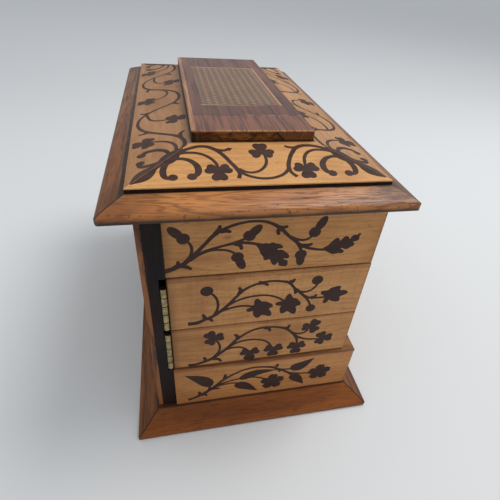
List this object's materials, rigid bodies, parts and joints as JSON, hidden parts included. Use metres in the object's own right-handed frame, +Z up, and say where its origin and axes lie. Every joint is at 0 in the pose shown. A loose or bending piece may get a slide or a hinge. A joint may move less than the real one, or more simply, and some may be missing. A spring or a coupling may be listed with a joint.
{
  "type": "jewelry cabinet",
  "caption": "Inlaid wooden jewelry cabinet on a bevelled plinth, with a hinged lid over a lined well, swing-out trays on corner hinges and a drawer in its base.",
  "frame": {"origin": "middle of the plinth's outline on the surface that the cabinet stands on", "axes": "+X along the cabinet's length to its right, -Y out of its front, +Z up"},
  "size_m": [0.317, 0.1938, 0.2273],
  "materials": {
    "pale_wood": "pale figured veneer, waxed",
    "moulding_wood": "reddish brown moulding, waxed",
    "dark_wood": "ebonised, satin",
    "red_wood": "red brown veneer, waxed",
    "inner_wood": "plain, unpolished",
    "rosewood": "dark veneer with light inlay, polished",
    "velvet": "velvet",
    "brass": "aged",
    "lock_steel": "dull"
  },
  "bodies": {
    "case": {"back_board": "dark_wood", "back_facing": "red_wood", "base_left_end": "pale_wood", "base_right_end": "pale_wood", "base_top": "moulding_wood", "bottom_board": "inner_wood", "hinge_fixed_leaves_and_pins": "brass", "keyhole_escutcheon": "brass", "lock_case": "brass", "plinth_back": "moulding_wood", "plinth_front": "moulding_wood", "plinth_left": "moulding_wood", "plinth_right": "moulding_wood", "ring_cushion": "velvet", "upper_floor": "inner_wood", "upper_front": "pale_wood", "upper_left_end": "pale_wood", "upper_right_end": "pale_wood", "well_dividers": "inner_wood", "well_lining": "velvet"},
    "drawer": {"drawer_back": "inner_wood", "drawer_bottom": "inner_wood", "drawer_front": "pale_wood", "drawer_knobs": "brass", "drawer_left_side": "inner_wood", "drawer_lining": "velvet", "drawer_right_side": "inner_wood"},
    "lower_tray": {"lower_tray_back": "inner_wood", "lower_tray_bottom": "inner_wood", "lower_tray_dividers": "inner_wood", "lower_tray_front": "pale_wood", "lower_tray_hinge_leaf": "brass", "lower_tray_knob": "brass", "lower_tray_left_end": "pale_wood", "lower_tray_lining": "velvet", "lower_tray_right_end": "pale_wood"},
    "upper_tray": {"upper_tray_back": "inner_wood", "upper_tray_bottom": "inner_wood", "upper_tray_dividers": "inner_wood", "upper_tray_front": "pale_wood", "upper_tray_hinge_leaf": "brass", "upper_tray_knob": "brass", "upper_tray_left_end": "pale_wood", "upper_tray_lining": "velvet", "upper_tray_right_end": "pale_wood"},
    "lid": {"lid_back_rail": "moulding_wood", "lid_back_slope": "pale_wood", "lid_board": "dark_wood", "lid_front_rail": "moulding_wood", "lid_front_slope": "pale_wood", "lid_hinge_leaves": "brass", "lid_left_rail": "moulding_wood", "lid_left_slope": "pale_wood", "lid_lining": "velvet", "lid_right_rail": "moulding_wood", "lid_right_slope": "pale_wood", "lock_link_plate": "brass", "tablet": "pale_wood", "tablet_veneer": "rosewood"},
    "lock_bolt": {"lock_bolt": "lock_steel"}
  },
  "joints": [
    {"name": "lid_hinge", "type": "hinge", "parent": "case", "child": "lid", "pos_m": [0, 0.0799, 0.19725], "axis": [-1, 0, 0], "range_deg": [0, 95]},
    {"name": "upper_tray_swing", "type": "hinge", "parent": "case", "child": "upper_tray", "pos_m": [-0.138, 0.06775, 0.1244], "axis": [0, 0, -1], "range_deg": [0, 95]},
    {"name": "lower_tray_swing", "type": "hinge", "parent": "case", "child": "lower_tray", "pos_m": [-0.138, 0.06775, 0.0813], "axis": [0, 0, -1], "range_deg": [0, 95]},
    {"name": "drawer_slide", "type": "slide", "parent": "case", "child": "drawer", "axis": [0, -1, 0], "range_m": [0, 0.11]},
    {"name": "lock_bolt_slide", "type": "slide", "parent": "case", "child": "lock_bolt", "axis": [-1, 0, 0], "range_m": [0, 0.002]}
  ]
}
